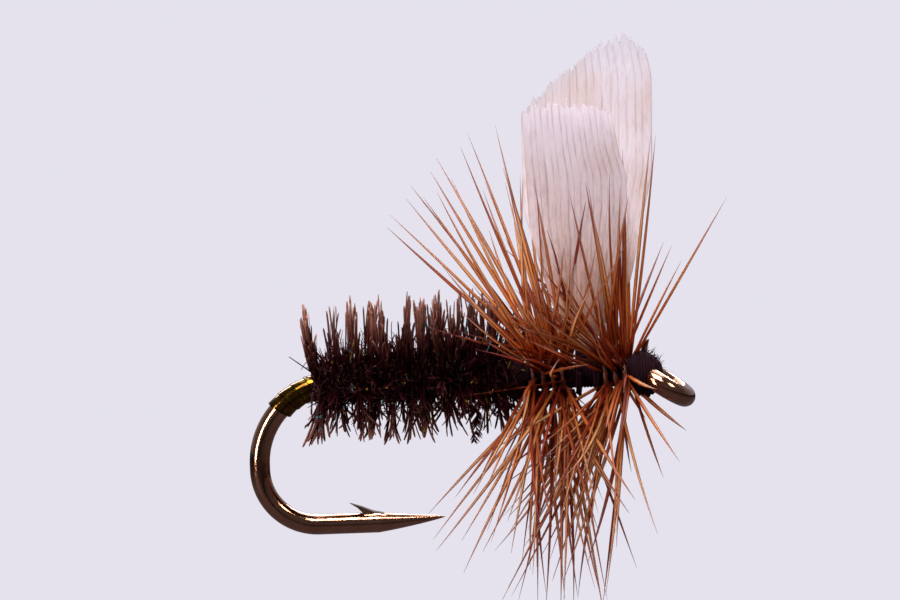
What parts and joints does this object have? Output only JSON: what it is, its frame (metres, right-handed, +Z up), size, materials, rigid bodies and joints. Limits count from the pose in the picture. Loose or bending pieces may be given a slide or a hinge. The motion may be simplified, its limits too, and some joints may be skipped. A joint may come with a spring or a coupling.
{
  "type": "dry fly",
  "caption": "Dry fly on a turned-down-eye barbed hook: gold tinsel tag, peacock herl body, white upright quill wings, brown hackle and black thread head.",
  "frame": {"origin": "centre of the hook's eye", "axes": "+X along the shank towards the eye, +Z up, the side the wings stand on, +Y the fly's left"},
  "size_m": [0.0127, 0.0119, 0.015],
  "materials": {
    "hook_wire": "bronzed spring wire, polished",
    "black_thread": "waxed tying thread, matt",
    "gold_tinsel": "flat metal tinsel, bright",
    "herl_quill": "peacock herl quill, satin",
    "herl_fringe": "peacock barbules, dark with a green and bronze sheen",
    "white_quill": "white wing quill slip, translucent",
    "hackle_stem": "hackle quill, satin",
    "hackle_barb": "stiff brown rooster barbs, glossy and translucent"
  },
  "bodies": {
    "root": {"hook": "hook_wire", "thread_base": "black_thread", "tinsel_tag": "gold_tinsel", "herl_quill_1": "herl_quill", "herl_quill_2": "herl_quill", "herl_quill_3": "herl_quill", "herl_fringe_1": "herl_fringe", "herl_fringe_2": "herl_fringe", "herl_fringe_3": "herl_fringe", "herl_trimmed_ends": "herl_quill", "herl_tie_off_thread": "black_thread", "herl_loose_tip": "herl_fringe", "wing_right": "white_quill", "wing_left": "white_quill", "wing_butts": "white_quill", "wing_rear_thread": "black_thread", "wing_front_thread": "black_thread", "wing_post_thread": "black_thread", "rear_hackle_stem": "hackle_stem", "front_hackle_stem": "hackle_stem", "rear_hackle_barbs": "hackle_barb", "front_hackle_barbs": "hackle_barb", "hackle_butts": "hackle_stem", "hackle_tip_stub": "hackle_stem", "thread_head": "black_thread", "whip_finish": "black_thread"}
  },
  "joints": []
}
